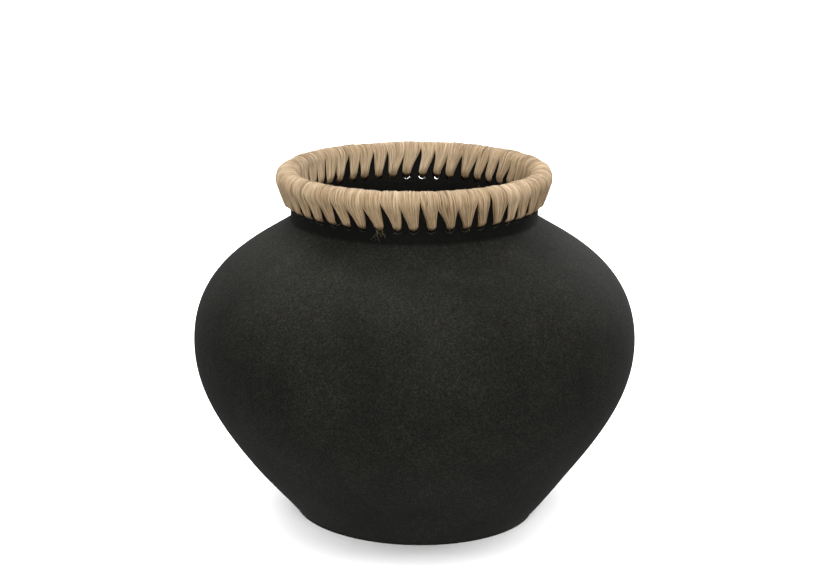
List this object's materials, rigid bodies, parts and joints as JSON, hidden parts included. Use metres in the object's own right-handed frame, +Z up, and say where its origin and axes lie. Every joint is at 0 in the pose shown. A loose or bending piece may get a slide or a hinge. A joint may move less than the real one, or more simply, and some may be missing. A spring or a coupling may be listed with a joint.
{
  "type": "clay pot",
  "caption": "Wide-bellied matte black clay pot with a short collar, its lip wrapped in raffia bundles laced through small pierced holes; holds dry stems or stands as decoration.",
  "frame": {"origin": "centre of the foot's underside, on the surface that the pot stands on", "axes": "+Z up along the pot's axis, through the mouth; the first stitch is on the -Y side, and the pot is the same all round"},
  "size_m": [0.35, 0.35, 0.2794],
  "materials": {
    "clay": "matte unburnished black fired clay, fine grain",
    "raffia": "dry natural raffia palm fibre, low satin sheen along the strands"
  },
  "bodies": {
    "root": {"clay_pot": "clay", "raffia_stitch_01": "raffia", "raffia_stitch_02": "raffia", "raffia_stitch_03": "raffia", "raffia_stitch_04": "raffia", "raffia_stitch_05": "raffia", "raffia_stitch_06": "raffia", "raffia_stitch_07": "raffia", "raffia_stitch_08": "raffia", "raffia_stitch_09": "raffia", "raffia_stitch_10": "raffia", "raffia_stitch_11": "raffia", "raffia_stitch_12": "raffia", "raffia_stitch_13": "raffia", "raffia_stitch_14": "raffia", "raffia_stitch_15": "raffia", "raffia_stitch_16": "raffia", "raffia_stitch_17": "raffia", "raffia_stitch_18": "raffia", "raffia_stitch_19": "raffia", "raffia_stitch_20": "raffia", "raffia_stitch_21": "raffia", "raffia_stitch_22": "raffia", "raffia_stitch_23": "raffia", "raffia_stitch_24": "raffia", "raffia_stitch_25": "raffia", "raffia_stitch_26": "raffia", "raffia_stitch_27": "raffia", "raffia_stitch_28": "raffia", "raffia_stitch_29": "raffia", "raffia_stitch_30": "raffia", "raffia_stitch_31": "raffia", "raffia_stitch_32": "raffia", "raffia_stitch_33": "raffia", "raffia_stitch_34": "raffia", "raffia_stitch_35": "raffia", "raffia_stitch_36": "raffia", "raffia_stitch_37": "raffia", "raffia_stitch_38": "raffia", "raffia_stitch_39": "raffia", "raffia_stitch_40": "raffia", "raffia_stitch_41": "raffia", "raffia_stitch_42": "raffia", "raffia_stitch_43": "raffia", "raffia_stitch_44": "raffia", "raffia_stitch_45": "raffia", "raffia_stitch_46": "raffia", "raffia_stitch_47": "raffia"}
  },
  "joints": []
}
